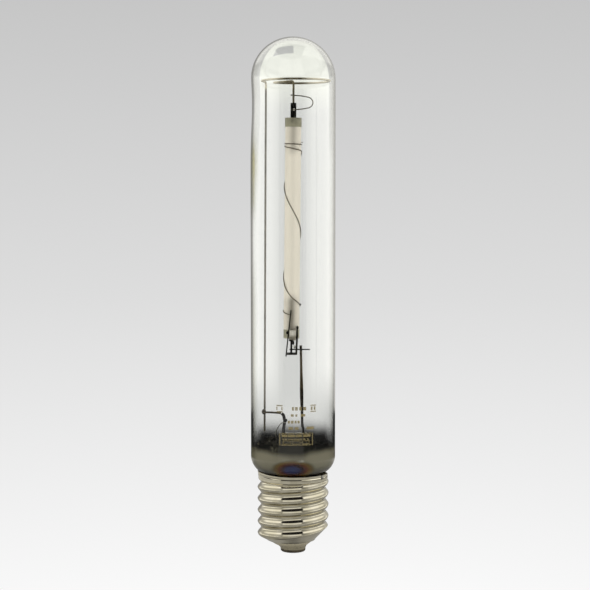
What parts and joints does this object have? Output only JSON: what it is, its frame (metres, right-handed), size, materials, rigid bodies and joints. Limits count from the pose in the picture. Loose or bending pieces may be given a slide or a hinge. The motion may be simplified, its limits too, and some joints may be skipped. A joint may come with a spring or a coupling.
{
  "type": "sodium vapor lamp",
  "caption": "Clear tubular high-pressure sodium discharge lamp with a ceramic arc tube, wound starting wire and large screw cap.",
  "frame": {"origin": "tip of the centre contact, on the lamp's axis", "axes": "+Z along the lamp's axis from the cap to the dome, +X to the right, -Y towards the side with the starting arm"},
  "size_m": [0.0465, 0.0464, 0.283],
  "materials": {
    "clear_glass": "clear blown glass",
    "stem_glass": "clear pressed glass",
    "alumina": "translucent sintered alumina",
    "plug_alumina": "grey sintered alumina",
    "niobium": "dark niobium",
    "tungsten": "dark drawn tungsten",
    "frame_nickel": "drawn nickel-plated wire",
    "dark_wire": "oxidised lead wire",
    "post_steel": "browned steel rod",
    "bimetal": "rolled bimetal",
    "amalgam": "bright amalgam",
    "cap_nickel": "bright nickel plate",
    "insulator": "moulded grey insulator",
    "contact_metal": "dull contact plate",
    "solder": "soft solder",
    "cement": "basing cement",
    "copper_wire": "copper lead wire"
  },
  "bodies": {
    "root": {"outer_bulb": "clear_glass", "stem": "stem_glass", "exhaust_tube": "stem_glass", "stem_lead_left": "dark_wire", "stem_lead_right": "dark_wire", "frame_link": "frame_nickel", "frame_rod": "frame_nickel", "flexible_link": "frame_nickel", "getter_ring": "frame_nickel", "getter_wire": "dark_wire", "arc_post": "post_steel", "cross_rod": "dark_wire", "arc_tube": "alumina", "upper_end_plug": "plug_alumina", "lower_end_plug": "plug_alumina", "upper_feedthrough": "niobium", "lower_feedthrough": "niobium", "upper_electrode": "tungsten", "lower_electrode": "tungsten", "amalgam_dose": "amalgam", "starting_wire": "dark_wire", "starting_arm": "dark_wire", "lower_bracket": "dark_wire", "bimetal_strip": "bimetal", "screw_shell": "cap_nickel", "basing_cement": "cement", "cap_insulator": "insulator", "centre_contact": "contact_metal", "centre_solder": "solder", "contact_lead": "copper_wire", "shell_lead": "copper_wire", "rim_solder": "solder"}
  },
  "joints": []
}
